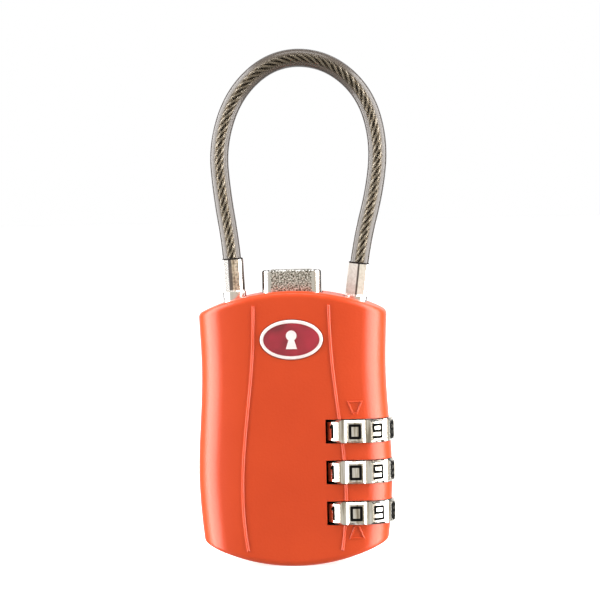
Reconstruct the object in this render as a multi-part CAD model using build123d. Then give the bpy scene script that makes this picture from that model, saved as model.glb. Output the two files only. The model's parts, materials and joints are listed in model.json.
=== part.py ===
from build123d import *

import os
from math import cos, pi, radians, sin, tan

# Cable luggage lock: a die-cast body with three number dials, a push button, a service key
# cylinder and a coated wire cable whose right end pulls out of the body.
#
# Millimetres. X to the right (the dials are on the right), Y to the back, Z up. The model is
# drawn about the body's own middle plane and bottom point, and moved at the end so that the
# origin is the bottom centre of everything but the cable.

# ---------------------------------------------------------------- driving dimensions
BODY_HEIGHT = 42.75
TOP_RADIUS = 33.6  # crown of the body seen from the front
BOTTOM_RADIUS = 29.9
SIDE_CURVE = [(14.9, 46), (14.6, 38.6), (14.35, 30), (14.7, 22.6), (15.1, 14), (14.7, 6.7), (13.6, -2)]
BODY_HALF_WIDTH = 15.1  # at its widest, level with the middle dial
FRONT_Y = -5.5
BACK_Y = 5.7
FRONT_CROWN_RADIUS = 110.0
SIDE_EDGE_RADIUS = 4.0
RIM_RADIUS = 0.95
PARTING_GAP = 0.06
WALL = 1.4

DIAL_X = 9.6
DIAL_Y = -0.4
DIAL_RADIUS = 6.0
DIAL_HEIGHT = 3.5
DIAL_PITCH = 6.36
DIAL_TOP_Z = 20.95
DIAL_NAMES = ("upper", "middle", "lower")
DIAL_Z = [DIAL_TOP_Z - i * DIAL_PITCH for i in range(3)]
DIAL_BORE = 3.3
DIAL_CHAMFER = 0.32
DIGIT_STEP = 36.0
FLUTE_RADIUS = 1.0
FLUTE_CENTRE = 6.61
DIGIT_WIDTH = 1.5  # between stroke centres
DIGIT_HEIGHT = 1.92
DIGIT_STROKE = 0.43
DIGIT_DEPTH = 0.14
POCKET_RADIUS = 6.15
SLOT_HEIGHT = 3.72
SLOT_LEFT = 5.0

SLEEVE_RADIUS = 3.2
SLEEVE_HEIGHT = DIAL_PITCH - 0.06
SLEEVE_CHAMBER = 2.75
JOURNAL_RADIUS = 3.27
KEY_HEIGHT = 1.0
GATE_TOP = -0.4  # top of the gate flange, from the dial's middle
GATE_THICK = 1.2
SPINDLE_RADIUS = 1.5
FIN_REACH = 2.6
FIN_HEIGHT = 1.0
FIN_WIDTH = 0.8
GATE_WIDTH = 1.2
SPINDLE_TOP = 28.2
SPINDLE_FOOT = 7.0
RESET_CUP_FLOOR = 3.55  # the cup lifts by up to 1.2 to free the sleeves' keys
RESET_PIN_RADIUS = 0.8

BUTTON_HALF_X = 4.65
BUTTON_HALF_Y = 2.5
BUTTON_TOP = 46.05
BUTTON_GAP = 0.15
BUTTON_SPRING_X = -3.4
FLANGE_TOP = 38.9

CABLE_DIAMETER = 2.85
FIXED_TILT = -2.5  # degrees from upright, towards +X
FREE_TILT = 7.0
FIXED_MOUTH = (-9.25, 47.7)  # centre of each ferrule's upper end, X and Z
FREE_MOUTH = (10.5, 46.7)
FERRULE_FLATS = 1.6  # centre to flat of the crimped part
FERRULE_RADIUS = 1.8
FIXED_TWIST = 8.0  # turn of each crimp about its own axis
FREE_TWIST = 4.0
FERRULE_LENGTH = 14.6
CRIMP_LENGTH = 5.0
CABLE_SEAT = 3.4  # how deep the cable sits in a ferrule
GROOVE_Z = -10.65  # middle of the catch's groove, down the free ferrule from its mouth
CROSS_PIN = (-8.7, 35.0)
CROSS_PIN_RADIUS = 0.8
SOCKET_RADIUS = 1.92

# The cable's route in the body's middle plane, from the fixed ferrule round to the free one.
ROUTE = [
    (-9.10, 44.35), (-9.32, 49.20), (-10.75, 58.40), (-11.20, 65.50), (-8.85, 72.85), (-4.10, 77.80), (1.50, 79.35),
    (7.35, 77.75), (12.05, 72.95), (13.95, 65.90), (13.30, 58.60), (10.83, 49.50), (10.09, 43.35),
]
SPLIT_AFTER = 5  # the cable's two half solids meet in the middle of the run after this point

PLUG_X = -6.4
PLUG_RADIUS = 3.0
PLUG_FACE = 1.9
PLUG_TOP = 15.0
BARREL_RADIUS = 4.3
CAM_PIN_REACH = 1.6
CAM_PIN_RADIUS = 0.6
LINK_PLATE_Z = 19.6

EMBLEM_Z = 35.3
EMBLEM_SIZE = (10.0, 6.4)
RIVETS = [(-12.6, 27.0), (-12.6, 8.2), (0.6, 4.6), (12.6, 31.0)]
RIVET_RADIUS = 0.8
RIVET_HEAD_RADIUS = 1.1
RIVET_SEAT_Y = 3.4
RIVET_HEAD_THICK = 0.7
RIB_HALF_WIDTH = 0.22
RIB_PROUD = 0.2
RIB_CHAMFER = 0.15
RIGHT_RIB = [(5.85, 40.6), (5.9, 37.5), (6.15, 32.5), (7.05, 24.0), (7.75, 17.5), (8.02, 11.2), (7.8, 6.2), (7.3, 2.4)]
INDEX_X = 9.6
INDEX_SIZE = 2.1
INDEX_LINE = 0.26
INDEX_PROUD = 0.16
INDEX_CHAMFER = 0.09
EMBLEM_GAP = 0.13
KEY_SQUARE = 1.1  # half the square on the plug's end; its holes are 0.03 larger

# ---------------------------------------------------------------- small helpers


def block(x0, x1, y0, y1, z0, z1):
    """A box given by its limits."""
    return Pos((x0 + x1) / 2, (y0 + y1) / 2, (z0 + z1) / 2) * Box(x1 - x0, y1 - y0, z1 - z0)


def rod(x, y, z0, z1, radius):
    """An upright cylinder between two heights."""
    return Pos(x, y, (z0 + z1) / 2) * Cylinder(radius, z1 - z0)


def across(x, z, y0, y1, radius):
    """A cylinder along Y."""
    return Pos(x, (y0 + y1) / 2, z) * Rot(90, 0, 0) * Cylinder(radius, y1 - y0)


def front_prism(sketch, y0, y1):
    """A prism along Y whose outline is drawn in X and Z."""
    plane = Plane(origin=(0, y1, 0), x_dir=(1, 0, 0), z_dir=(0, -1, 0))
    return extrude(plane * sketch, amount=y1 - y0)


def along(mouth, tilt):
    """A plane at a ferrule's upper end whose z runs up the ferrule's own axis."""
    lean = radians(tilt)
    return Plane(origin=(mouth[0], 0, mouth[1]), x_dir=(cos(lean), 0, -sin(lean)), z_dir=(sin(lean), 0, cos(lean)))


def coil(radius, wire, z0, z1, turns):
    """A compression spring as a helix between two heights."""
    path = Helix(pitch=(z1 - z0) / turns, height=z1 - z0, radius=radius)
    section = Plane(origin=path @ 0, z_dir=path % 0) * Circle(wire)
    return Pos(0, 0, z0) * sweep(section, path=path, is_frenet=True)


# ---------------------------------------------------------------- body shells


def outer_body():
    """The whole outside of the body, with no openings."""
    right = [(x, z) for x, z in SIDE_CURVE]
    left = [(-x, z) for x, z in reversed(SIDE_CURVE)]
    edge_right, edge_left = Spline(*right), Spline(*left)
    outline = make_face([edge_right, Line(right[-1], left[0]), edge_left, Line(left[-1], right[0])])
    slab = front_prism(outline, FRONT_Y - 2, BACK_Y)
    crown_y = FRONT_Y + FRONT_CROWN_RADIUS
    slab = slab & (Pos(0, crown_y, 22) * Cylinder(FRONT_CROWN_RADIUS, 80))
    long_edges = [e for e in slab.edges() if abs(e.center().X) > 13 and e.bounding_box().size.Z > 30]
    slab = fillet(long_edges, SIDE_EDGE_RADIUS)
    top_centre = BODY_HEIGHT - TOP_RADIUS
    cap = across(0, top_centre, FRONT_Y - 3, BACK_Y + 3, TOP_RADIUS)
    slab = slab & (cap + block(-20, 20, FRONT_Y - 3, BACK_Y + 3, -10, top_centre))
    bowl = across(0, BOTTOM_RADIUS, FRONT_Y - 3, BACK_Y + 3, BOTTOM_RADIUS)
    slab = slab & (bowl + block(-20, 20, FRONT_Y - 3, BACK_Y + 3, BOTTOM_RADIUS, 60))
    rims = [e for e in slab.edges() if e.bounding_box().size.Z < 6]
    return fillet(rims, RIM_RADIUS)


def raised(shape, proud):
    """The part of a prism that follows the crowned front, standing proud of it."""
    crown_y = FRONT_Y + FRONT_CROWN_RADIUS
    skin = Pos(0, crown_y, 22) * Cylinder(FRONT_CROWN_RADIUS + proud, 80)
    return shape & skin


def bevelled(shape, amount):
    """A raised line with the edges of its crest taken off, which catch the light."""
    return chamfer(shape.faces().sort_by(Axis.Y)[0].edges(), amount)


def ribs():
    """The two fine raised lines down the front."""
    made = []
    for side in (1, -1):
        line = Spline(*[(side * x, z) for x, z in RIGHT_RIB])
        band = front_prism(trace(line, 2 * RIB_HALF_WIDTH), FRONT_Y - 3, FRONT_Y + 1)
        made.append(bevelled(raised(band, RIB_PROUD), RIB_CHAMFER))
    return made


def index_marks():
    """Raised triangle outlines over and under the dials, pointing at the read-out line."""
    made = []
    for z_base, way in ((25.5, -1), (4.3, 1)):
        half, tall = INDEX_SIZE / 2, 1.8
        corners = [(INDEX_X - half, z_base), (INDEX_X + half, z_base), (INDEX_X + 0.3, z_base + way * tall),
                   (INDEX_X - 0.3, z_base + way * tall)]
        line = Polyline(*corners, close=True)
        band = front_prism(trace(line, INDEX_LINE), FRONT_Y - 3, FRONT_Y + 1)
        made.append(bevelled(raised(band, INDEX_PROUD), INDEX_CHAMFER))
    return made


def cavities():
    """Everything that is hollow inside the closed body."""
    front, back = FRONT_Y + WALL + 0.1, BACK_Y - WALL
    cuts = [
        block(-11.3, 2.3, front, back, 3.4, 24.4),  # key cylinder, cam and link bar
        block(-1.2, 2.3, front, back, 24.3, 30.0),  # the link bar's upright
        block(-5.4, 6.3, -3.3, 3.3, 29.9, 39.1),  # button, its leg and the catch
        block(2.2, 11.1, -3.9, 3.6, 25.2, 31.9),  # link bar's reach and button foot
        block(7.0, 12.05, -3.0, 2.2, 25.2, 28.6),  # spindle head
        block(6.2, 9.0, -1.6, 1.6, 34.4, 37.4),  # window for the catch's hook
        block(2.2, 3.0, DIAL_Y - 1.5, DIAL_Y + 1.5, 4.9, 24.3),  # detent spring
        block(-BUTTON_HALF_X - BUTTON_GAP, BUTTON_HALF_X + BUTTON_GAP, -BUTTON_HALF_Y - BUTTON_GAP,
              BUTTON_HALF_Y + BUTTON_GAP, 38, 50),
        rod(DIAL_X, DIAL_Y, 3.0, 25.4, JOURNAL_RADIUS),
        rod(DIAL_X, DIAL_Y, -3, 4, RESET_PIN_RADIUS + 0.05),
        rod(PLUG_X, 0, -3, 4, PLUG_RADIUS + 0.12),
    ]
    for z in DIAL_Z:
        z0, z1 = z - SLOT_HEIGHT / 2, z + SLOT_HEIGHT / 2
        cuts.append(rod(DIAL_X, DIAL_Y, z0, z1, POCKET_RADIUS))
        cuts.append(block(SLOT_LEFT, 20, -10, 10, z0, z1))
        cuts.append(block(2.4, 5.0, DIAL_Y - 0.6, DIAL_Y + 0.6, z - 1.2, z + 1.2))
    socket = along(FREE_MOUTH, FREE_TILT) * Pos(0, 0, -6.5) * Cylinder(SOCKET_RADIUS, 18)
    seat = along(FIXED_MOUTH, FIXED_TILT) * Pos(0, 0, -7.4) * Cylinder(FERRULE_RADIUS + 0.06, 14.8)
    wide_seat = along(FIXED_MOUTH, FIXED_TILT) * Pos(0, 0, -2.0) * Cylinder(SOCKET_RADIUS, 8)
    cuts += [socket, seat, wide_seat, across(*CROSS_PIN, -3.5, 3.7, CROSS_PIN_RADIUS + 0.02)]
    return cuts


def rivet_boss():
    """Solid metal kept round the lower middle rivet, inside the main hollow."""
    x, z = RIVETS[2]
    return across(x, z, FRONT_Y + 1, BACK_Y - 0.5, 1.8)


def emblem_outline(shrink):
    """The badge's oval, drawn in by a margin."""
    return Ellipse(EMBLEM_SIZE[0] / 2 - shrink, EMBLEM_SIZE[1] / 2 - shrink)


def emblem_prism(shrink, y0, y1):
    """An oval block at the badge's place."""
    return Pos(0, 0, EMBLEM_Z) * front_prism(emblem_outline(shrink), y0, y1)


def make_shells():
    """The front and rear die castings, split on the body's middle plane."""
    whole = outer_body()
    for cut in cavities():
        whole = whole - cut
    whole = whole + rivet_boss()
    front = whole & block(-30, 30, -20, -PARTING_GAP / 2, -10, 60)
    rear = whole & block(-30, 30, PARTING_GAP / 2, 20, -10, 60)
    for piece in ribs() + index_marks():
        for z in DIAL_Z:
            piece = piece - block(SLOT_LEFT, 20, -10, 10, z - SLOT_HEIGHT / 2, z + SLOT_HEIGHT / 2)
        front = front + piece
    front = front - emblem_prism(0, FRONT_Y - 1, FRONT_Y + 0.55)
    for x, z in RIVETS:
        front = front - across(x, z, -3.6, 1, RIVET_RADIUS + 0.02)
        rear = rear - across(x, z, -1, RIVET_SEAT_Y + 1, RIVET_RADIUS + 0.02)
        rear = rear - across(x, z, RIVET_SEAT_Y, BACK_Y + 1, RIVET_HEAD_RADIUS + 0.05)
    return front, rear


def make_rivets():
    """Four rivets whose domed heads sit at the bottom of counterbores in the back."""
    made = []
    for x, z in RIVETS:
        shank = across(x, z, -3.5, RIVET_SEAT_Y + 0.1, RIVET_RADIUS)
        head = across(x, z, RIVET_SEAT_Y, RIVET_SEAT_Y + RIVET_HEAD_THICK, RIVET_HEAD_RADIUS)
        head = fillet(head.faces().sort_by(Axis.Y)[-1].edges(), 0.4)
        made.append(shank + head)
    return made


# ---------------------------------------------------------------- emblem


def make_emblem():
    """Oval plate with a rim, a red field and a keyhole sign standing in the field."""
    face = FRONT_Y - 0.14
    plate = emblem_prism(EMBLEM_GAP, face, FRONT_Y + 0.5)
    plate = chamfer(plate.faces().sort_by(Axis.Y)[0].edges(), 0.12)
    plate = plate - emblem_prism(0.62, face - 0.1, FRONT_Y + 0.14)
    head = Pos(0, 0.62) * Circle(0.82)
    stem = make_face(Polyline((-0.34, 0.3), (0.34, 0.3), (0.86, -1.45), (-0.86, -1.45), close=True))
    sign = Pos(0, 0, EMBLEM_Z) * front_prism(head + stem, face - 0.02, FRONT_Y + 0.14)
    field = emblem_prism(0.64, face + 0.04, FRONT_Y + 0.14) - sign
    return plate, field, sign


# ---------------------------------------------------------------- dials


def digit_segments(digit):
    """Strokes of a numeral as pairs of corner points, on a two by three grid."""
    w, h = DIGIT_WIDTH / 2, DIGIT_HEIGHT / 2
    corner = {"tl": (-w, h), "tr": (w, h), "ml": (-w, 0), "mr": (w, 0), "bl": (-w, -h), "br": (w, -h)}
    lines = {"a": ("tl", "tr"), "b": ("tr", "mr"), "c": ("mr", "br"), "d": ("bl", "br"),
             "e": ("ml", "bl"), "f": ("tl", "ml"), "g": ("ml", "mr")}
    shown = ("abcdef", None, "abged", "abgcd", "fgbc", "afgcd", "afgcde", "abc", "abcdefg", "abcdfg")[digit]
    if shown is None:
        return [((0, h), (0, -h)), ((0, h), (-0.35, h - 0.35))]
    return [(corner[lines[s][0]], corner[lines[s][1]]) for s in shown]


def numeral(digit):
    """One numeral's outline: rounded strokes joined."""
    sketch = None
    for a, b in digit_segments(digit):
        stroke = trace(Line(a, b), DIGIT_STROKE)
        for p in (a, b):
            stroke = stroke + Pos(*p) * Circle(DIGIT_STROKE / 2)
        sketch = stroke if sketch is None else sketch + stroke
    return sketch


def make_numerals():
    """Ten numerals as thin solids that follow the dial's rim, and the tools that sink them into it."""
    ring = Cylinder(DIAL_RADIUS, DIAL_HEIGHT) - Cylinder(DIAL_RADIUS - DIGIT_DEPTH, DIAL_HEIGHT)
    sink = Cylinder(DIAL_RADIUS + 2, DIAL_HEIGHT) - Cylinder(DIAL_RADIUS - DIGIT_DEPTH, DIAL_HEIGHT)
    fills, tools = [], []
    for digit in range(10):
        plane = Plane(origin=(0, -DIAL_RADIUS - 1, 0), x_dir=(1, 0, 0), z_dir=(0, -1, 0))
        bar = Rot(0, 0, -DIGIT_STEP * digit) * extrude(plane * numeral(digit), amount=-3)
        fills += (bar & ring).solids()
        tools += (bar & sink).solids()
    return fills, tools


def make_dial_blank():
    """A number wheel about its own centre: fluted rim, ten index grooves in the lower bore."""
    wheel = chamfer(Cylinder(DIAL_RADIUS, DIAL_HEIGHT).edges(), DIAL_CHAMFER)
    for i in range(10):
        turn = Rot(0, 0, DIGIT_STEP * (i + 0.5))
        wheel = wheel - turn * Pos(0, FLUTE_CENTRE, 0) * Cylinder(FLUTE_RADIUS, DIAL_HEIGHT + 1)
        low = -DIAL_HEIGHT / 2
        wheel = wheel - turn * block(-0.35, 0.35, 0, DIAL_BORE + 0.5, low - 1, low + 1.15)
    wheel = wheel - Cylinder(DIAL_BORE, DIAL_HEIGHT + 1)
    recess_z = -DIAL_HEIGHT / 2 + 1.75
    return wheel - Pos(0, 0, recess_z) * Cylinder(DIAL_BORE + 0.55, 1.25)


def make_sleeve():
    """A gate sleeve about its dial's centre: a tube with a gated flange and one outer key."""
    tube = Cylinder(SLEEVE_RADIUS, SLEEVE_HEIGHT) - Cylinder(SLEEVE_CHAMBER, SLEEVE_HEIGHT + 1)
    flange = rod(0, 0, GATE_TOP - GATE_THICK, GATE_TOP, SLEEVE_CHAMBER + 0.1) - Cylinder(SPINDLE_RADIUS + 0.12, 20)
    gate = block(-GATE_WIDTH / 2, GATE_WIDTH / 2, -SLEEVE_CHAMBER, 0, -3, 3)
    assembly_slot = Rot(0, 0, -90) * gate
    flange = flange - gate - assembly_slot
    low = -DIAL_HEIGHT / 2
    key = Rot(0, 0, 18) * block(-0.28, 0.28, SLEEVE_RADIUS - 0.2, DIAL_BORE + 0.4, low + 0.05, low + 0.05 + KEY_HEIGHT)
    return tube + flange + key


def make_spindle():
    """The finned spindle that drops through the three gates, with its head and foot."""
    shaft = rod(0, 0, SPINDLE_FOOT, SPINDLE_TOP, SPINDLE_RADIUS)
    head = rod(0, 0, SPINDLE_TOP - 1.0, SPINDLE_TOP, 2.3)
    for z in DIAL_Z:
        z0 = z + GATE_TOP + 0.1
        shaft = shaft + block(-FIN_WIDTH / 2, FIN_WIDTH / 2, -FIN_REACH, 0, z0, z0 + FIN_HEIGHT)
    return Pos(DIAL_X, DIAL_Y, 0) * (shaft + head)


def make_reset_cup():
    """The cup under the sleeves, with the pin that is pushed from below to lift them."""
    z0 = RESET_CUP_FLOOR - 0.5
    cup = rod(0, 0, z0, DIAL_Z[-1] - SLEEVE_HEIGHT / 2 - 0.05, SLEEVE_RADIUS)
    cup = cup - rod(0, 0, RESET_CUP_FLOOR, 9, SLEEVE_CHAMBER)
    return Pos(DIAL_X, DIAL_Y, 0) * (cup + rod(0, 0, 1.9, z0 + 0.1, RESET_PIN_RADIUS))


# ---------------------------------------------------------------- button and inner works


def make_button():
    """The push button: knurled head, retaining flange, leg and a foot behind the spindle."""
    head = block(-BUTTON_HALF_X, BUTTON_HALF_X, -BUTTON_HALF_Y, BUTTON_HALF_Y, FLANGE_TOP - 0.6, BUTTON_TOP)
    head = fillet(head.edges().filter_by(Axis.Z), 1.6)
    head = fillet(head.faces().sort_by(Axis.Z)[-1].edges(), 0.45)
    flange = block(-5.2, 5.2, -3.1, 3.1, FLANGE_TOP - 1.2, FLANGE_TOP)
    leg = block(2.7, 4.5, 0.9, 3.0, 30.4, FLANGE_TOP - 1.1)
    arm = block(2.7, 10.8, 1.3, 3.2, 30.4, 31.6)
    foot = block(8.8, 10.4, 1.3 + 0.6, 3.2, 29.6, 30.5)
    guide = rod(BUTTON_SPRING_X, 0, 32.5, FLANGE_TOP - 1.1, 1.0)
    return head + flange + leg + arm + foot + guide


def make_link_bar():
    """The key's link: a blocker under the button's foot, joined to a slotted plate at the cam."""
    low, high = SPINDLE_TOP + 0.1, SPINDLE_TOP + 1.3
    blocker = block(8.5, 10.9, -1.4, 3.2, low, high)
    reach = block(-0.6, 8.6, -1.2, 1.2, low, high)
    upright = block(-0.6, 0.6, -1.2, 1.2, LINK_PLATE_Z, low + 0.1)
    plate = block(-8.0, 0.6, -1.2, 3.2, LINK_PLATE_Z, LINK_PLATE_Z + 1.2)
    pin_x, pin_y = cam_pin_place()
    side = CAM_PIN_RADIUS + 0.12
    slot = block(pin_x - side, PLUG_X + CAM_PIN_REACH + side, pin_y - side, pin_y + side, LINK_PLATE_Z - 1, 24)
    return blocker + reach + upright + plate - slot


def cam_pin_place():
    """Where the cam's pin stands at rest: half a quarter turn before the back."""
    lean = CAM_PIN_REACH * cos(radians(45))
    return PLUG_X + lean, lean


def make_cylinder():
    """Key barrel, plug with wafer slots, the wafers, the cam and its clip."""
    barrel = rod(PLUG_X, 0, 3.45, PLUG_TOP - 0.1, BARREL_RADIUS) - rod(PLUG_X, 0, 3, 16, PLUG_RADIUS + 0.06)
    barrel = barrel & block(PLUG_X - 4.2, PLUG_X + 4.2, FRONT_Y + WALL + 0.15, BACK_Y - WALL - 0.05, 0, 20)
    for y in (-1, 1):
        barrel = barrel - block(PLUG_X - 1.0, PLUG_X + 1.0, min(y * 2.8, y * 3.5), max(y * 2.8, y * 3.5), 4.6, 16)
    plug = chamfer(rod(PLUG_X, 0, PLUG_FACE, PLUG_TOP, PLUG_RADIUS).faces().sort_by(Axis.Z)[0].edges(), 0.3)
    plug = plug + block(PLUG_X - KEY_SQUARE, PLUG_X + KEY_SQUARE, -KEY_SQUARE, KEY_SQUARE, PLUG_TOP - 0.5,
                        PLUG_TOP + 2.2)
    plug = plug - block(PLUG_X - 0.55, PLUG_X + 0.55, -1.9, 1.9, 0, 13.2)
    plug = plug - block(PLUG_X - 0.55, PLUG_X + 1.0, 0.9, 1.5, 0, 13.2)
    wafers = []
    for i in range(5):
        z = 5.0 + 1.7 * i
        plug = plug - block(PLUG_X - 1.6, PLUG_X + 1.6, -2.6, 2.6, z - 0.05, z + 0.65)
        wafer = block(PLUG_X - 1.5, PLUG_X + 1.5, -2.42, 2.42, z, z + 0.6)
        shift = 0.25 * ((i * 2) % 3 - 1)
        wafers.append(wafer - block(PLUG_X - 0.75, PLUG_X + 0.75, -1.5 + shift, 1.5 + shift, z - 1, z + 1))
    pin_x, pin_y = cam_pin_place()
    side = KEY_SQUARE + 0.03
    square_hole = block(PLUG_X - side, PLUG_X + side, -side, side, 10, 20)
    cam = rod(PLUG_X, 0, PLUG_TOP + 0.15, PLUG_TOP + 1.35, 2.7)
    cam = cam + rod(pin_x, pin_y, PLUG_TOP + 0.3, 21.6, CAM_PIN_RADIUS) - square_hole
    clip = block(PLUG_X - 1.5, PLUG_X + 0.4, -1.6, 0.3, 16.45, 16.85) - square_hole
    return barrel, plug, wafers, cam, clip


def make_catch():
    """Spring-steel catch: anchored low on the left, its hook in the free ferrule's groove."""
    arm = block(5.3, 5.7, -1.3, 1.3, 33.2, 36.4)
    hook = block(5.3, 7.95, -1.3, 1.3, 35.9, 36.4)
    base = block(4.9, 5.7, -1.3, 1.3, 32.8, 33.3)
    return arm + hook + base


def make_detent():
    """Leaf spring with one rounded finger in a flute of each dial."""
    strip = block(2.42, 2.62, -1.2, 1.2, 5.2, 24.0)
    for z in DIAL_Z:
        strip = strip + block(2.5, 3.55, -0.35, 0.35, z - 0.6, z + 0.6)
        strip = strip + rod(3.55, 0, z - 0.6, z + 0.6, 0.35)
    return Pos(0, DIAL_Y, 0) * strip


# ---------------------------------------------------------------- cable


def make_cable():
    """The cable's tube, straight runs joined by tangent arcs, cut into its fixed and free halves."""
    corners = [Vector(x, 0, z) for x, z in ROUTE]
    radii = []
    for a, b, c in zip(corners, corners[1:], corners[2:]):
        turn = radians((b - a).get_angle(c - b))
        radii.append(0.45 * min((b - a).length, (c - b).length) / tan(turn / 2))
    path = FilletPolyline(*corners, radius=radii)
    section = Plane(origin=path @ 0, z_dir=path % 0) * Circle(CABLE_DIAMETER / 2)
    tube = sweep(section, path=path)
    print("cable radii", [round(r, 1) for r in radii], "length", round(path.length, 2))
    print("volume over section times length", round(tube.volume / (pi * CABLE_DIAMETER**2 / 4 * path.length), 4))
    middle = (ROUTE[SPLIT_AFTER][0] + ROUTE[SPLIT_AFTER + 1][0]) / 2
    return tube & block(-40, middle, -5, 5, 0, 99), tube & block(middle, 40, -5, 5, 0, 99)


def ferrule(mouth, tilt, twist, grooved):
    """A crimped end sleeve: hexagonal crimp above, round shank below, in its own tilted frame."""
    hexagon = RegularPolygon(FERRULE_FLATS, 6, major_radius=False, rotation=30 + twist)
    crimp = extrude(Pos(0, 0, -CRIMP_LENGTH) * hexagon, amount=CRIMP_LENGTH)
    crimp = crimp & Pos(0, 0, -CRIMP_LENGTH / 2) * Cylinder(FERRULE_RADIUS, CRIMP_LENGTH)
    shank_length = FERRULE_LENGTH - CRIMP_LENGTH
    shank = Pos(0, 0, -CRIMP_LENGTH - shank_length / 2) * Cylinder(FERRULE_RADIUS, shank_length)
    if grooved:
        shank = chamfer(shank.faces().sort_by(Axis.Z)[0].edges(), 0.75)
        groove = Cylinder(FERRULE_RADIUS + 1, 1.6) - Cylinder(1.05, 1.6)
        shank = shank - Pos(0, 0, GROOVE_Z) * groove
    made = crimp + shank - Pos(0, 0, 1) * Cylinder(CABLE_DIAMETER / 2 + 0.02, 2 * (CABLE_SEAT + 1))
    return along(mouth, tilt) * made


# ---------------------------------------------------------------- assembly


def main():
    os.makedirs("parts", exist_ok=True)
    front, rear = make_shells()
    plate, field, sign = make_emblem()
    barrel, plug, wafers, cam, clip = make_cylinder()
    cable_fixed, cable_free = make_cable()
    fixed_ferrule = ferrule(FIXED_MOUTH, FIXED_TILT, FIXED_TWIST, False)
    fixed_ferrule = fixed_ferrule - across(*CROSS_PIN, -4, 4, CROSS_PIN_RADIUS + 0.02)
    parts = {
        "front_shell": front,
        "rear_shell": rear,
        "shell_rivets": Compound(children=make_rivets()),
        "emblem_plate": plate,
        "emblem_enamel": field,
        "emblem_sign": sign,
        "fixed_ferrule": fixed_ferrule,
        "fixed_ferrule_pin": across(*CROSS_PIN, -3.4, 3.6, CROSS_PIN_RADIUS),
        "free_ferrule": ferrule(FREE_MOUTH, FREE_TILT, FREE_TWIST, True),
        "cable_fixed_half": cable_fixed,
        "cable_free_half": cable_free,
        "push_button": make_button(),
        "button_spring": Pos(BUTTON_SPRING_X, 0, 0) * coil(1.5, 0.18, 30.15, 37.4, 5),
        "combination_spindle": make_spindle(),
        "spindle_spring": Pos(DIAL_X, DIAL_Y, 0) * coil(1.15, 0.15, RESET_CUP_FLOOR + 0.2, SPINDLE_FOOT - 0.2, 4),
        "reset_cup": make_reset_cup(),
        "catch_spring": make_catch(),
        "dial_detent_spring": make_detent(),
        "cylinder_barrel": barrel,
        "cylinder_plug": plug,
        "cylinder_wafers": Compound(children=wafers),
        "cylinder_cam": cam,
        "cam_clip": clip,
        "key_link_bar": make_link_bar(),
    }
    numerals, tools = make_numerals()
    blank, sleeve = make_dial_blank(), make_sleeve()
    for tool in tools:
        blank = blank - tool
    for name, z in zip(DIAL_NAMES, DIAL_Z):
        place = Pos(DIAL_X, DIAL_Y, z)
        parts[f"dial_{name}"] = place * blank
        parts[f"numerals_{name}"] = Compound(children=[place * s for s in numerals])
        parts[f"gate_sleeve_{name}"] = place * sleeve
    shift_x = -(DIAL_X + DIAL_RADIUS - BODY_HALF_WIDTH) / 2
    shift_y = -(DIAL_Y - DIAL_RADIUS + BACK_Y) / 2
    for name, shape in parts.items():
        export_step(Pos(shift_x, shift_y, 0) * shape, f"parts/{name}.step")
    print("moved by", shift_x, shift_y)


main()
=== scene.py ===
import json
from math import cos, pi, radians, sin

import bpy
from mathutils import Matrix, Vector


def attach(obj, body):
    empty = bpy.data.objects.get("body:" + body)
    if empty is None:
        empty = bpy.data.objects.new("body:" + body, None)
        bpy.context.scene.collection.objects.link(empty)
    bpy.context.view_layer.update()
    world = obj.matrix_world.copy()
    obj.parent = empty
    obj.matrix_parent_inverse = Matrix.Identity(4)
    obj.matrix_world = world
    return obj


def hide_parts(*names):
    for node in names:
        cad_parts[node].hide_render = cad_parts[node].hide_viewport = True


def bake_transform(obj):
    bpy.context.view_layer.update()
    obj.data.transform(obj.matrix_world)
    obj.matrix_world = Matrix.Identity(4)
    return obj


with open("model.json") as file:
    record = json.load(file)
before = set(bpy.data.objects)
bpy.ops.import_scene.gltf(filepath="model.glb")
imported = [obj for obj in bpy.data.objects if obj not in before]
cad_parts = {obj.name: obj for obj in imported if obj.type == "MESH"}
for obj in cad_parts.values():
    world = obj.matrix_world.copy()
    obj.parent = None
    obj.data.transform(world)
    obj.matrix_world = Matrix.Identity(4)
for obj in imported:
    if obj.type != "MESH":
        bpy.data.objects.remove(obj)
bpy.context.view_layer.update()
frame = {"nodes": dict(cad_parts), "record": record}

# Looks of the cable luggage lock: the coated wire cable, the badge, and the finish of every piece.
# Metres, in the lock's own frame: X towards the dials, Y to the back, Z up.

MM = 0.001

# ---------------------------------------------------------------- driving values

SHIFT_X = -0.25 * MM  # the middle of the body, from the origin
SHIFT_Y = 0.35 * MM  # the body's parting plane and the cable's plane

# The cable's route in its own plane, from the fixed ferrule round to the free one, in mm.
ROUTE = [
    (-9.10, 44.35), (-9.32, 49.20), (-10.75, 58.40), (-11.20, 65.50), (-8.85, 72.85),
    (-4.10, 77.80), (1.50, 79.35), (7.35, 77.75), (12.05, 72.95), (13.95, 65.90),
    (13.30, 58.60), (10.83, 49.50), (10.09, 43.35),
]
CABLE_RADIUS = 1.425 * MM
LIP_RADIUS = 0.19 * MM
LIP_FLATNESS = 0.8
STRANDS = 6
STRAND_LAY = 7.6 * MM  # length along the rope in which a strand goes once round
STRAND_RADIUS = 0.22 * MM
STRAND_REACH = 0.58 * MM  # from the rope's middle to a strand's, which leaves gaps between the strands
WIRE_LAY = 4.0 * MM
WIRE_RADIUS = STRAND_RADIUS / 3
WIRES_ROUND = 6  # round the strand's middle wire
STATION_STEP = 0.25 * MM  # between the rope's computed sections
CORE_RADIUS = 0.42 * MM

FERRULE_RADIUS = 1.8 * MM
PRESSED_LENGTH = 4.7 * MM  # how far down from the mouth the crimping jaw marked a ferrule
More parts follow.
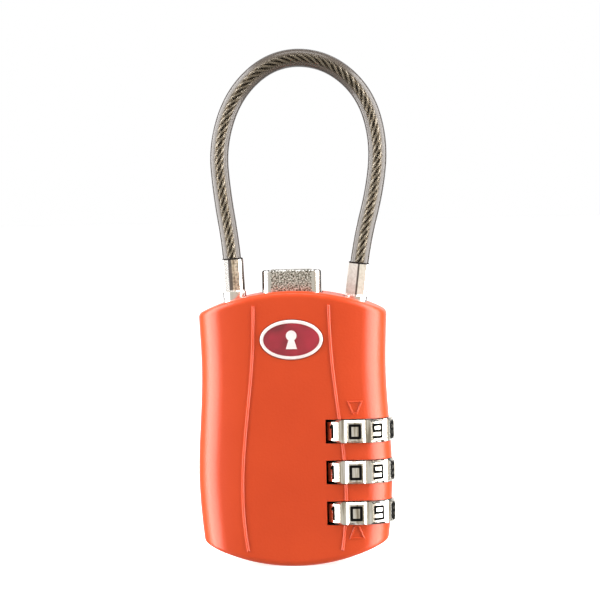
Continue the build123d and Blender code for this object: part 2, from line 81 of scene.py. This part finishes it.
# X and Z of each ferrule's upper end in mm, and its lean in degrees.
FIXED_MOUTH, FIXED_TILT = (-9.25, 47.7), -2.5
FREE_MOUTH, FREE_TILT = (10.5, 46.7), 7.0
DIAL_AXIS = (9.6 * MM + SHIFT_X, -0.4 * MM + SHIFT_Y)
DIAL_BOTTOM_Z = 8.23 * MM  # middle of the lowest dial
DIAL_PITCH = 6.36 * MM
POCKET_REACH = 6.2 * MM
SLOT_HALF = 1.87 * MM
CROWN_START = 6.0 * MM  # from the body's middle to where its faces begin to fall away to the sides
CROWN_RADIUS = 22.0 * MM
# Each coil spring: its node, the body that presses its upper end, its axis in X and Y, the radius of its
# coil and of its wire, the heights of its first and last turn, and its turns; lengths in mm.
SPRINGS = [
    ("button_spring", "button", (-3.4, 0.0), 1.5, 0.18, (30.15, 37.40), 5),
    ("spindle_spring", "spindle", (9.6, -0.4), 1.15, 0.15, (3.75, 6.80), 4),
]
TURN_STEPS = 32  # points on one turn of a spring
BLASTED_HALF = 3.1 * MM  # half the width of the button's grained middle
BLASTED_EDGE = 0.15 * MM  # over which the grain fades out

VIEW_WIDTH = 93.75 * MM  # what the view spans at the lock
VIEW_CENTRE = (0.95 * MM, 0, 41.2 * MM)
AZIMUTH, ELEVATION, ROLL = 3.0, 2.5, -1.15
FOCAL, SENSOR = 180.0, 36.0


# ---------------------------------------------------------------- helpers


def colour(code):
    """An sRGB hex colour as linear RGBA."""
    parts = [int(code[i : i + 2], 16) / 255 for i in (1, 3, 5)]
    return [c / 12.92 if c <= 0.04045 else ((c + 0.055) / 1.055) ** 2.4 for c in parts] + [1.0]


def node(tree, kind, inputs=None, stops=(), **settings):
    """Adds a node with its properties, its inputs' values or links, and any (position, colour) stops."""
    made = tree.nodes.new(kind)
    for name, value in settings.items():
        setattr(made, name, value)
    for key, value in (inputs or {}).items():
        if isinstance(value, bpy.types.NodeSocket):
            tree.links.new(value, made.inputs[key])
        else:
            made.inputs[key].default_value = value
    if stops:
        band = made.color_ramp
        while len(band.elements) < len(stops):
            band.elements.new(0.5)
        for element, (place, code) in zip(band.elements, stops):
            element.position = place
            element.color = colour(code)
    return made


def new_material(name):
    """An empty material with a Principled shader: the material, its tree and the shader."""
    made = bpy.data.materials.new(name)
    made.use_nodes = True
    tree = made.node_tree
    return made, tree, tree.nodes["Principled BSDF"]


def wear(obj, material):
    """Gives a piece one material and no other."""
    obj.data.materials.clear()
    obj.data.materials.append(material)


def only(obj):
    """Makes a piece the one selected and active object."""
    bpy.ops.object.select_all(action="DESELECT")
    obj.select_set(True)
    bpy.context.view_layer.objects.active = obj


# ---------------------------------------------------------------- camera


def make_camera():
    azimuth, elevation = radians(AZIMUTH), radians(ELEVATION)
    distance = VIEW_WIDTH * FOCAL / SENSOR
    away = Vector((sin(azimuth) * cos(elevation), -cos(azimuth) * cos(elevation), sin(elevation)))
    data = bpy.data.cameras.new("camera")
    data.lens, data.sensor_width = FOCAL, SENSOR
    data.clip_start = 0.01
    camera = bpy.data.objects.new("camera", data)
    bpy.context.scene.collection.objects.link(camera)
    turn = (-away).to_track_quat("-Z", "Y").to_matrix() @ Matrix.Rotation(radians(ROLL), 3, "Z")
    camera.matrix_world = Matrix.Translation(Vector(VIEW_CENTRE) + away * distance) @ turn.to_4x4()
    bpy.context.scene.camera = camera


# ---------------------------------------------------------------- cable


def route_curve():
    """The cable's centreline as a NURBS curve, and the points that it gives."""
    data = bpy.data.curves.new("cable_route", "CURVE")
    data.dimensions = "3D"
    data.resolution_u = 16
    spline = data.splines.new("NURBS")
    spline.points.add(len(ROUTE) - 1)
    for point, (x, z) in zip(spline.points, ROUTE):
        point.co = (x * MM + SHIFT_X, SHIFT_Y, z * MM, 1)
    spline.order_u = 3
    spline.use_endpoint_u = True
    guide = bpy.data.objects.new("cable_route", data)
    bpy.context.scene.collection.objects.link(guide)
    bpy.context.view_layer.update()
    mesh = bpy.data.meshes.new_from_object(guide)
    points = [v.co.copy() for v in mesh.vertices]
    bpy.data.meshes.remove(mesh)
    bpy.data.objects.remove(guide)
    return points


def lengths(points):
    """How far along the line each point is."""
    run = [0.0]
    for a, b in zip(points, points[1:]):
        run.append(run[-1] + (b - a).length)
    return run


def along(points, step):
    """Evenly spaced stations on the line: (distance, place, outward, across) for each."""
    run = lengths(points)
    count = int(run[-1] / step)
    stations, k = [], 0
    for i in range(count + 1):
        at = run[-1] * i / count
        while k < len(points) - 2 and run[k + 1] < at:
            k += 1
        share = (at - run[k]) / (run[k + 1] - run[k])
        place = points[k].lerp(points[k + 1], share)
        ahead = (points[min(k + 2, len(points) - 1)] - points[max(k - 1, 0)]).normalized()
        across = Vector((0, 1, 0))
        stations.append((at, place, across.cross(ahead).normalized(), across))
    return stations


def tube(name, lines, radius, sides):
    """One mesh of round tubes along the given lines of points."""
    data = bpy.data.curves.new(name, "CURVE")
    data.dimensions = "3D"
    data.bevel_depth = radius
    data.bevel_resolution = sides // 2 - 2
    data.use_fill_caps = True
    for line in lines:
        spline = data.splines.new("POLY")
        spline.points.add(len(line) - 1)
        for point, place in zip(spline.points, line):
            point.co = (*place, 1)
    made = bpy.data.objects.new(name, data)
    bpy.context.scene.collection.objects.link(made)
    only(made)
    bpy.ops.object.convert(target="MESH")
    bpy.ops.object.shade_smooth()
    return bpy.context.object


def strand_wires(stations, start):
    """The lines of one strand's seven wires, laid the other way inside the strand."""
    lines = [[] for _ in range(WIRES_ROUND + 1)]
    for at, place, out, across in stations:
        turn = start + 2 * pi * at / STRAND_LAY
        reach = out * cos(turn) + across * sin(turn)
        side = across * cos(turn) - out * sin(turn)
        centre = place + reach * STRAND_REACH
        lines[0].append(centre)
        for i in range(WIRES_ROUND):
            angle = 2 * pi * i / WIRES_ROUND - 2 * pi * at / WIRE_LAY
            lines[i + 1].append(centre + (reach * cos(angle) + side * sin(angle)) * 2 * WIRE_RADIUS)
    return lines


def make_cable():
    """The clear jacket and the steel rope in it: six strands laid round a core."""
    points = route_curve()
    jacket = tube("cable_jacket", [points], CABLE_RADIUS, 32)
    stations = along(points, STATION_STEP)
    pieces = [tube("rope_core", [[s[1] for s in stations[::2]]], CORE_RADIUS, 12)]
    for i in range(STRANDS):
        wires = strand_wires(stations, 2 * pi * i / STRANDS)
        pieces.append(tube(f"rope_strand_{i + 1}", wires, WIRE_RADIUS, 6))
    for piece in [jacket] + pieces:
        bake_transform(piece)
        wear(piece, FINISH["rope"])
    wear(pieces[0], FINISH["rope_core"])
    wear(jacket, FINISH["jacket"])
    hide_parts("cable_fixed_half", "cable_free_half")
    for name, mouth, tilt, body in (("fixed", FIXED_MOUTH, FIXED_TILT, "housing"),
                                    ("free", FREE_MOUTH, FREE_TILT, "free_end")):
        make_lip(f"{name}_jacket_lip_shadow", mouth, tilt, body)


def make_lip(name, mouth, tilt, body):
    """The roll of PVC that the crimp squeezes up round the cable at a ferrule's mouth; its near-black colour
    is painted shadow at the mouth.
    """
    bpy.ops.object.select_all(action="DESELECT")
    bpy.ops.mesh.primitive_torus_add(major_radius=CABLE_RADIUS, minor_radius=LIP_RADIUS, major_segments=48,
                                     minor_segments=12)
    lip = bpy.context.object
    lip.name = name
    bpy.ops.object.mode_set(mode="EDIT")
    bpy.ops.mesh.select_all(action="SELECT")
    bpy.ops.transform.resize(value=(1, 1, LIP_FLATNESS))
    bpy.ops.object.mode_set(mode="OBJECT")
    lip.rotation_euler = (0, radians(tilt), 0)
    lip.location = (mouth[0] * MM + SHIFT_X, SHIFT_Y, mouth[1] * MM + LIP_RADIUS / 2)
    bpy.ops.object.transform_apply(location=True, rotation=True, scale=True)
    bpy.ops.object.shade_smooth()
    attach(lip, body)
    wear(lip, FINISH["lip"])


# ---------------------------------------------------------------- springs


def make_springs():
    """The coil springs: a helix of round wire for each, from its first turn to its last, in place of the CAD
    spring.
    """
    for spring, mover, axis, coil_radius, wire_radius, (low, high), turns in SPRINGS:
        x, y = axis[0] * MM + SHIFT_X, axis[1] * MM + SHIFT_Y
        helix = []
        for step in range(turns * TURN_STEPS + 1):
            angle = 2 * pi * step / TURN_STEPS
            rise = low + (high - low) * step / (turns * TURN_STEPS)
            helix.append((x + coil_radius * MM * cos(angle), y + coil_radius * MM * sin(angle), rise * MM))
        coil = tube(f"{spring}_coil", [helix], wire_radius * MM, 8)
        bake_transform(coil)
        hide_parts(spring)
        wear(coil, FINISH["spring"])


# ---------------------------------------------------------------- finishes


def body_paint():
    """Orange powder coat on die-cast zinc: satin, finely grained, softly crowned, with near-black painted
    shade on the slot walls.
    """
    made, tree, shader = new_material("orange_powder_coat")
    place = node(tree, "ShaderNodeTexCoord").outputs["Object"]
    mottle = node(tree, "ShaderNodeTexNoise", {"Vector": place, "Scale": 1 / (9 * MM), "Detail": 2.0})
    base = node(tree, "ShaderNodeValToRGB", {"Fac": mottle.outputs["Fac"]},
                [(0.3, "#C8421A"), (0.7, "#CE461D")]).outputs["Color"]
    # Painted shade: the walls of the dial slots are mixed to near black.
    base = node(tree, "ShaderNodeMix", {0: slot_wall_shade_mask(tree, place), 6: base, 7: colour("#120F0D")},
                data_type="RGBA").outputs[2]
    grain = node(tree, "ShaderNodeTexNoise", {"Vector": place, "Scale": 1 / (0.33 * MM), "Detail": 2.0})
    crown = node(tree, "ShaderNodeBump", {"Height": side_crown(tree, place), "Strength": 1.0,
                                          "Distance": 1.0})
    bump = node(tree, "ShaderNodeBump", {"Height": grain.outputs["Fac"], "Strength": 0.75,
                                         "Distance": 0.03 * MM, "Normal": crown.outputs["Normal"]})
    tree.links.new(base, shader.inputs["Base Color"])
    tree.links.new(bump.outputs["Normal"], shader.inputs["Normal"])
    shader.inputs["Roughness"].default_value = 0.36
    shader.inputs["IOR"].default_value = 1.4
    return made


def side_crown(tree, place):
    """How far the faces' soft crown drops towards the sides: a parabola past CROWN_START."""
    sideways = node(tree, "ShaderNodeSeparateXYZ", {0: place}).outputs["X"]
    offset = node(tree, "ShaderNodeMath", {0: sideways, 1: SHIFT_X}, operation="SUBTRACT").outputs[0]
    reach = node(tree, "ShaderNodeMath", {0: offset}, operation="ABSOLUTE").outputs[0]
    past = node(tree, "ShaderNodeMath", {0: reach, 1: CROWN_START}, operation="SUBTRACT").outputs[0]
    past = node(tree, "ShaderNodeMath", {0: past, 1: 0.0}, operation="MAXIMUM").outputs[0]
    square = node(tree, "ShaderNodeMath", {0: past, 1: past}, operation="MULTIPLY").outputs[0]
    return node(tree, "ShaderNodeMath", {0: square, 1: -0.5 / CROWN_RADIUS}, operation="MULTIPLY").outputs[0]


def slot_wall_shade_mask(tree, place):
    """1 on the walls of the three dial slots, which get near-black painted shade, and 0 elsewhere."""
    from_axis = node(tree, "ShaderNodeVectorMath", {0: place, 1: (*DIAL_AXIS, DIAL_BOTTOM_Z)},
                     operation="SUBTRACT")
    parts = node(tree, "ShaderNodeSeparateXYZ", {0: from_axis.outputs[0]}).outputs
    level = node(tree, "ShaderNodeVectorMath", {0: from_axis.outputs[0], 1: (1, 1, 0)},
                 operation="MULTIPLY").outputs[0]
    reach = node(tree, "ShaderNodeVectorMath", {0: level}, operation="LENGTH").outputs["Value"]
    inside = node(tree, "ShaderNodeMath", {0: reach, 1: POCKET_REACH}, operation="LESS_THAN").outputs[0]
    off_dial = node(tree, "ShaderNodeMath", {0: parts["Z"], 1: DIAL_PITCH / 2},
                    operation="PINGPONG").outputs[0]
    beside = node(tree, "ShaderNodeMath", {0: off_dial, 1: SLOT_HALF}, operation="LESS_THAN").outputs[0]
    among = node(tree, "ShaderNodeMath", {0: parts["Z"], 1: DIAL_PITCH, 2: DIAL_PITCH + SLOT_HALF},
                 operation="COMPARE")
    walls = node(tree, "ShaderNodeMath", {0: inside, 1: beside}, operation="MULTIPLY").outputs[0]
    return node(tree, "ShaderNodeMath", {0: walls, 1: among.outputs[0]}, operation="MULTIPLY").outputs[0]


def metal(name, shade, roughness, grit=0.0, depth=0.0):
    """Plated or bare metal: a faint cloudiness, and a cast or blasted grain where grit is given."""
    made, tree, shader = new_material(name)
    place = node(tree, "ShaderNodeTexCoord").outputs["Object"]
    cloud = node(tree, "ShaderNodeTexNoise", {"Vector": place, "Scale": 1 / (2.5 * MM), "Detail": 3.0})
    rough = node(tree, "ShaderNodeMapRange", {"Value": cloud.outputs["Fac"], "From Min": 0.3, "From Max": 0.7,
                                              "To Min": roughness * 0.8, "To Max": roughness * 1.25})
    tree.links.new(rough.outputs["Result"], shader.inputs["Roughness"])
    shader.inputs["Base Color"].default_value = colour(shade)
    shader.inputs["Metallic"].default_value = 1.0
    if grit:
        grain = node(tree, "ShaderNodeTexNoise", {"Vector": place, "Scale": 1 / grit, "Detail": 2.0})
        bump = node(tree, "ShaderNodeBump", {"Height": grain.outputs["Fac"], "Strength": 0.6,
                                             "Distance": depth})
        tree.links.new(bump.outputs["Normal"], shader.inputs["Normal"])
    return made


def dial_chrome():
    """Chrome over a turned rim: off-white with soft grey and straw streaks that run across the rim."""
    made, tree, shader = new_material("streaked_dial_chrome")
    place = node(tree, "ShaderNodeTexCoord").outputs["Object"]
    drawn = node(tree, "ShaderNodeMapping", {"Vector": place, "Scale": (1, 1, 0.08)}).outputs["Vector"]
    streak = node(tree, "ShaderNodeTexNoise", {"Vector": drawn, "Scale": 1 / (0.45 * MM), "Detail": 3.0})
    shades = node(tree, "ShaderNodeValToRGB", {"Fac": streak.outputs["Fac"]},
                  [(0.36, "#A39A89"), (0.46, "#DDD8CC"), (0.6, "#F4F2EE")]).outputs["Color"]
    rough = node(tree, "ShaderNodeMapRange", {"Value": streak.outputs["Fac"], "From Min": 0.35,
                                              "From Max": 0.6, "To Min": 0.3, "To Max": 0.14})
    tree.links.new(shades, shader.inputs["Base Color"])
    tree.links.new(rough.outputs["Result"], shader.inputs["Roughness"])
    shader.inputs["Metallic"].default_value = 1.0
    return made


def button_plate():
    """Plated zinc: the head's middle is blasted to a coarse sandy grain, its two ends are polished."""
    made, tree, shader = new_material("blasted_and_polished_zinc")
    place = node(tree, "ShaderNodeTexCoord").outputs["Object"]
    sideways = node(tree, "ShaderNodeSeparateXYZ", {0: place}).outputs["X"]
    offset = node(tree, "ShaderNodeMath", {0: sideways, 1: SHIFT_X}, operation="SUBTRACT").outputs[0]
    reach = node(tree, "ShaderNodeMath", {0: offset}, operation="ABSOLUTE").outputs[0]
    sandy = node(tree, "ShaderNodeMapRange", {"Value": reach, "From Min": BLASTED_HALF,
                                              "From Max": BLASTED_HALF + BLASTED_EDGE, "To Min": 1.0,
                                              "To Max": 0.0}).outputs["Result"]
    grain = node(tree, "ShaderNodeTexNoise", {"Vector": place, "Scale": 1 / (0.24 * MM),
                                              "Detail": 3.0}).outputs["Fac"]
    speckle = node(tree, "ShaderNodeValToRGB", {"Fac": grain},
                   [(0.4, "#4E4A42"), (0.5, "#BDB8AD"), (0.58, "#FBF9F5")]).outputs["Color"]
    base = node(tree, "ShaderNodeMix", {0: sandy, 6: colour("#EFEDEA"), 7: speckle},
                data_type="RGBA").outputs[2]
    rough = node(tree, "ShaderNodeMapRange", {"Value": sandy, "To Min": 0.1,
                                              "To Max": 0.36}).outputs["Result"]
    bump = node(tree, "ShaderNodeBump", {"Height": grain, "Strength": sandy, "Distance": 0.06 * MM})
    tree.links.new(base, shader.inputs["Base Color"])
    tree.links.new(rough, shader.inputs["Roughness"])
    tree.links.new(bump.outputs["Normal"], shader.inputs["Normal"])
    shader.inputs["Metallic"].default_value = 1.0
    return made


def crimped_nickel(name, mouth, tilt, stops, dull, grit):
    """Nickel-plated crimp: bands of painted highlight and painted shade across the flats, painted shadow in
    the creases, dull where the jaw grained a flat and in the painted shadow of a crease.
    """
    made, tree, shader = new_material(name)
    place = node(tree, "ShaderNodeTexCoord").outputs["Object"]
    top = (mouth[0] * MM + SHIFT_X, SHIFT_Y, mouth[1] * MM)
    centred = node(tree, "ShaderNodeVectorMath", {0: place, 1: top}, operation="SUBTRACT").outputs[0]
    upright = node(tree, "ShaderNodeMapping", {"Vector": centred, "Rotation": (0, radians(-tilt), 0)})
    parts = node(tree, "ShaderNodeSeparateXYZ", {0: upright.outputs["Vector"]}).outputs
    share = node(tree, "ShaderNodeMapRange", {"Value": parts["X"], "From Min": -FERRULE_RADIUS,
                                              "From Max": FERRULE_RADIUS}).outputs["Result"]
    pressed = node(tree, "ShaderNodeMapRange", {"Value": parts["Z"], "From Min": -PRESSED_LENGTH - 0.2 * MM,
                                                "From Max": -PRESSED_LENGTH}).outputs["Result"]
    # The bands across the pressed part are painted highlights, painted shade and painted shadow.
    shades = node(tree, "ShaderNodeValToRGB", {"Fac": share}, stops).outputs["Color"]
    bands = node(tree, "ShaderNodeMix", {0: pressed, 6: colour("#EFECE7"), 7: shades},
                 data_type="RGBA").outputs[2]
    dulled = node(tree, "ShaderNodeValToRGB", {"Fac": share}, dull).outputs["Color"]
    matt = node(tree, "ShaderNodeMath", {0: dulled, 1: pressed}, operation="MULTIPLY").outputs[0]
    grain = node(tree, "ShaderNodeTexNoise", {"Vector": place, "Scale": 1 / (0.4 * MM),
                                              "Detail": 2.0}).outputs["Fac"]
    rubbed = node(tree, "ShaderNodeValToRGB", {"Fac": grain},
                  [(0.4, "#8F8370"), (0.56, "#FFFFFF")]).outputs["Color"]
    worn = node(tree, "ShaderNodeMath", {0: matt, 1: grit}, operation="MULTIPLY").outputs[0]
    base = node(tree, "ShaderNodeMix", {0: worn, 6: bands, 7: rubbed}, data_type="RGBA",
                blend_type="MULTIPLY")
    bump = node(tree, "ShaderNodeBump", {"Height": grain, "Strength": worn, "Distance": 0.04 * MM})
    plated = node(tree, "ShaderNodeMath", {0: 1.0, 1: matt}, operation="SUBTRACT").outputs[0]
    rough = node(tree, "ShaderNodeMapRange", {"Value": matt, "To Min": 0.2, "To Max": 0.5}).outputs["Result"]
    tree.links.new(base.outputs[2], shader.inputs["Base Color"])
    tree.links.new(bump.outputs["Normal"], shader.inputs["Normal"])
    tree.links.new(plated, shader.inputs["Metallic"])
    tree.links.new(rough, shader.inputs["Roughness"])
    return made


def jacket_plastic():
    """Clear PVC gone smoky: mostly see-through face on, greyer and more solid towards its edges, glossy; the
    tint's darkening to near black at the edges is painted shade.
    """
    made, tree, shader = new_material("smoky_clear_pvc")
    edge = node(tree, "ShaderNodeLayerWeight", {"Blend": 0.5}).outputs["Facing"]
    cover = node(tree, "ShaderNodeMapRange", {"Value": edge, "From Min": 0.03, "From Max": 0.16,
                                              "To Min": 0.1, "To Max": 0.97})
    # Painted shade: the tint darkens to near black towards the jacket's edges.
    tint_and_edge_shade = node(tree, "ShaderNodeValToRGB", {"Fac": edge},
                [(0.1, "#5E564E"), (0.3, "#564F49"), (0.6, "#524D4A"), (0.76, "#2C2927"),
                 (0.88, "#161413")]).outputs["Color"]
    tree.links.new(tint_and_edge_shade, shader.inputs["Base Color"])
    tree.links.new(cover.outputs["Result"], shader.inputs["Alpha"])
    shader.inputs["Roughness"].default_value = 0.2
    shader.inputs["IOR"].default_value = 1.4
    return made


def lip_shadow_paint():
    """Painted shadow on the PVC squeezed out of the crimp at a ferrule's mouth: near black, mottled, dull."""
    made, tree, shader = new_material("lip_painted_shadow_pvc")
    place = node(tree, "ShaderNodeTexCoord").outputs["Object"]
    # Near-black painted shadow, mottled at random.
    shadow_mottle = node(tree, "ShaderNodeTexNoise", {"Vector": place, "Scale": 1 / (0.4 * MM), "Detail": 2.0})
    shades = node(tree, "ShaderNodeValToRGB", {"Fac": shadow_mottle.outputs["Fac"]},
                  [(0.3, "#0E0C0B"), (0.7, "#2A2421")])
    tree.links.new(shades.outputs["Color"], shader.inputs["Base Color"])
    shader.inputs["Roughness"].default_value = 0.7
    shader.inputs["Specular IOR Level"].default_value = 0.1
    return made


def ink():
    """Black paint wiped into the numerals: dull, slightly uneven."""
    made, tree, shader = new_material("black_fill_paint")
    place = node(tree, "ShaderNodeTexCoord").outputs["Object"]
    speck = node(tree, "ShaderNodeTexNoise", {"Vector": place, "Scale": 1 / (0.2 * MM), "Detail": 2.0})
    shades = node(tree, "ShaderNodeValToRGB", {"Fac": speck.outputs["Fac"]},
                  [(0.3, "#060606"), (0.8, "#161514")])
    tree.links.new(shades.outputs["Color"], shader.inputs["Base Color"])
    shader.inputs["Roughness"].default_value = 0.8
    shader.inputs["Specular IOR Level"].default_value = 0.05
    return made


def badge_lacquer():
    """The badge's struck lines under a warm white lacquer: satin, faintly clouded."""
    made, tree, shader = new_material("white_badge_lacquer")
    place = node(tree, "ShaderNodeTexCoord").outputs["Object"]
    cloud = node(tree, "ShaderNodeTexNoise", {"Vector": place, "Scale": 1 / (1.5 * MM), "Detail": 2.0})
    shades = node(tree, "ShaderNodeValToRGB", {"Fac": cloud.outputs["Fac"]},
                  [(0.3, "#F0DFE0"), (0.7, "#F8ECEC")])
    tree.links.new(shades.outputs["Color"], shader.inputs["Base Color"])
    shader.inputs["Roughness"].default_value = 0.35
    return made


def enamel():
    """Fired glass enamel over a struck ground: deep red, very glossy, with a slight pool of darker colour."""
    made, tree, shader = new_material("red_glass_enamel")
    place = node(tree, "ShaderNodeTexCoord").outputs["Object"]
    pool = node(tree, "ShaderNodeTexNoise", {"Vector": place, "Scale": 1 / (3 * MM), "Detail": 1.0})
    shades = node(tree, "ShaderNodeValToRGB", {"Fac": pool.outputs["Fac"]},
                  [(0.3, "#7A0A22"), (0.7, "#B31634")])
    tree.links.new(shades.outputs["Color"], shader.inputs["Base Color"])
    shader.inputs["Roughness"].default_value = 0.12
    shader.inputs["Coat Weight"].default_value = 1.0
    shader.inputs["Coat Roughness"].default_value = 0.04
    return made


# Bands of colour across each crimp, from its left edge to its right. They are painted light on the plating:
# the flats in lighter and darker shades as painted highlights and painted shade, brown painted shadow in the
# creases and painted shade at both edges. The fixed crimp's sandy band is the flat that the jaw grained.
FIXED_PAINTED_LIGHT_BANDS = [(0.0, "#8A847C"), (0.03, "#F6F3EE"), (0.30, "#FFFFFF"), (0.33, "#2A1F18"), (0.46, "#4A3B2C"),
               (0.49, "#A3957E"), (0.76, "#9C8E77"), (0.79, "#FFFFFF"), (0.87, "#F4F1EC"), (0.89, "#4A3A2E")]
FIXED_DULL = [(0.30, "#000000"), (0.33, "#FFFFFF"), (0.76, "#FFFFFF"), (0.79, "#000000"), (0.87, "#000000"),
              (0.89, "#FFFFFF")]
FREE_PAINTED_LIGHT_BANDS = [(0.0, "#6E665C"), (0.03, "#B8B4AD"), (0.46, "#BDB9B2"), (0.49, "#3A2F26"), (0.54, "#3A2F26"),
              (0.57, "#A0998C"), (0.84, "#A0998C"), (0.87, "#FFFFFF"), (0.97, "#8A8278")]
FREE_DULL = [(0.02, "#FFFFFF"), (0.49, "#FFFFFF"), (0.84, "#FFFFFF"), (0.87, "#000000")]

FINISH = {
    "paint": body_paint(),
    "badge": badge_lacquer(),
    "nickel": metal("crimped_nickel_plate", "#E2DED6", 0.14),
    "button": button_plate(),
    "dial": dial_chrome(),
    "fixed_crimp": crimped_nickel("crimped_nickel_fixed", FIXED_MOUTH, FIXED_TILT, FIXED_PAINTED_LIGHT_BANDS,
                                  FIXED_DULL, 0.8),
    "free_crimp": crimped_nickel("crimped_nickel_free", FREE_MOUTH, FREE_TILT, FREE_PAINTED_LIGHT_BANDS, FREE_DULL, 0.2),
    "rope": metal("galvanised_wire", "#D6CBB9", 0.24),
    # The core is near black as painted shade in the gaps between the strands.
    "rope_core": metal("core_wire_painted_shade", "#0E0C0A", 0.5),
    "spring": metal("drawn_spring_steel", "#8C8C8E", 0.3),
    "cast": metal("bare_zinc_casting", "#A5A5A8", 0.42, 0.3 * MM, 0.02 * MM),
    "brass": metal("machined_brass", "#C9A45A", 0.25),
    "steel": metal("turned_steel", "#B5B5B7", 0.25),
    "jacket": jacket_plastic(),
    "lip": lip_shadow_paint(),
    "ink": ink(),
    "enamel": enamel(),
}

SLOT_FINISH = {
    "body_paint": "paint", "bright_steel": "steel", "bright_plate": "badge", "red_enamel": "enamel",
    "ferrule_nickel": "nickel", "button_zinc": "button", "spring_steel": "spring", "works_zinc": "cast",
    "plug_brass": "brass", "dial_chrome": "dial", "numeral_ink": "ink", "cable_jacket": "jacket",
}


NODE_FINISH = {"fixed_ferrule": "fixed_crimp", "free_ferrule": "free_crimp"}


def finish_nodes():
    """Every CAD node gets the finish of its slot."""
    slot_of = {s["node"]: s["material_slot"] for s in frame["record"]["subparts"]}
    for name, obj in frame["nodes"].items():
        finish = FINISH[NODE_FINISH.get(name) or SLOT_FINISH[slot_of[name]]]
        for slot in obj.material_slots:
            slot.material = finish


# ---------------------------------------------------------------- studio


# The softboxes: name, place and size in metres, power in watts.
SOFTBOXES = [
    ("left_softbox", (-0.45, -0.01, 0.12), (0.50, 0.80), 10.0),
    ("right_softbox", (0.45, -0.01, 0.12), (0.50, 0.80), 10.0),
    ("top_softbox", (0, -0.08, 0.50), (0.30, 0.16), 0.8),
]
SOFTBOX_AIM = (0, 0, 40 * MM)
FLOOR_SIDE = 6.0
FLOOR_GLOW = 0.72
OVERHEAD_FROM, OVERHEAD_TO = 0.72, 0.82  # how steeply up the sky starts and ends turning dark


def softbox(name, place, size, power):
    """A rectangular area light that faces the lock and isn't seen itself."""
    data = bpy.data.lights.new(name, "AREA")
    data.shape = "RECTANGLE"
    data.size, data.size_y = size
    data.energy = power
    lamp = bpy.data.objects.new(name, data)
    bpy.context.scene.collection.objects.link(lamp)
    facing = Vector(SOFTBOX_AIM) - Vector(place)
    lamp.matrix_world = Matrix.Translation(place) @ facing.to_track_quat("-Z", "Y").to_matrix().to_4x4()
    lamp.visible_camera = False


def make_studio():
    """A white floor that the metal doesn't mirror, large softboxes at the sides, one above, and the sky."""
    bpy.ops.object.select_all(action="DESELECT")
    bpy.ops.mesh.primitive_plane_add(size=FLOOR_SIDE, location=(0, 0, 0))
    floor = bpy.context.object
    floor.name = "floor"
    white, tree, shader = new_material("floor_white")
    shader.inputs["Base Color"].default_value = colour("#E4E4E4")
    shader.inputs["Roughness"].default_value = 0.9
    shader.inputs["Emission Color"].default_value = colour("#FFFFFF")
    shader.inputs["Emission Strength"].default_value = FLOOR_GLOW
    wear(floor, white)
    floor.visible_diffuse = floor.visible_glossy = False
    for name, place, size, power in SOFTBOXES:
        softbox(name, place, size, power)
    bpy.context.scene.world = make_sky()
    bpy.context.scene.view_settings.view_transform = "Standard"


# How bright the sky is, by degrees round from the front, to the right (+) and the left (-).
SKY_BANDS = [
    (-180, "#FFFFFF"), (-156, "#FFFFFF"), (-148, "#141414"), (-126, "#141414"), (-116, "#F0F0F0"),
    (-75, "#FFFFFF"), (-52, "#E0DDD8"), (-33, "#BDB9B0"), (0, "#C9C5BC"), (33, "#BDB7AC"),
    (56, "#BDAF98"), (66, "#C4BBAA"), (76, "#FFFFFF"), (116, "#F0F0F0"), (126, "#141414"),
    (148, "#141414"), (156, "#FFFFFF"), (180, "#FFFFFF"),
]
SKY_STRENGTH = 1.15


def make_sky():
    """Light from all round by direction: grey in front, bright at the sides, dark overhead, seen as white."""
    world = bpy.data.worlds.new("studio_sky")
    world.use_nodes = True
    sky = world.node_tree
    way = node(sky, "ShaderNodeTexCoord").outputs["Generated"]
    forward = node(sky, "ShaderNodeVectorMath", {0: way, 1: (1, -1, 1)}, operation="MULTIPLY").outputs[0]
    parts = node(sky, "ShaderNodeSeparateXYZ", {0: forward}).outputs
    turn = node(sky, "ShaderNodeMath", {0: parts["X"], 1: parts["Y"]}, operation="ARCTAN2").outputs[0]
    place = node(sky, "ShaderNodeMapRange", {"Value": turn, "From Min": -pi,
                                             "From Max": pi}).outputs["Result"]
    stops = [((angle + 180) / 360, code) for angle, code in SKY_BANDS]
    around = node(sky, "ShaderNodeValToRGB", {"Fac": place}, stops).outputs["Color"]
    overhead = node(sky, "ShaderNodeMapRange", {"Value": parts["Z"], "From Min": OVERHEAD_FROM,
                                                "From Max": OVERHEAD_TO})
    light_from = node(sky, "ShaderNodeMix", {0: overhead.outputs["Result"], 6: around, 7: colour("#1A1A1A")},
                      data_type="RGBA").outputs[2]
    light = sky.nodes["Background"]
    sky.links.new(light_from, light.inputs["Color"])
    light.inputs["Strength"].default_value = SKY_STRENGTH
    seen = node(sky, "ShaderNodeBackground", {"Color": colour("#FFFFFF"), "Strength": 1.0})
    ray = node(sky, "ShaderNodeLightPath").outputs["Is Camera Ray"]
    mix = node(sky, "ShaderNodeMixShader", {0: ray, 1: light.outputs[0], 2: seen.outputs[0]})
    sky.links.new(mix.outputs[0], sky.nodes["World Output"].inputs["Surface"])
    return world


# ---------------------------------------------------------------- making

make_camera()
make_cable()
make_springs()
finish_nodes()
make_studio()
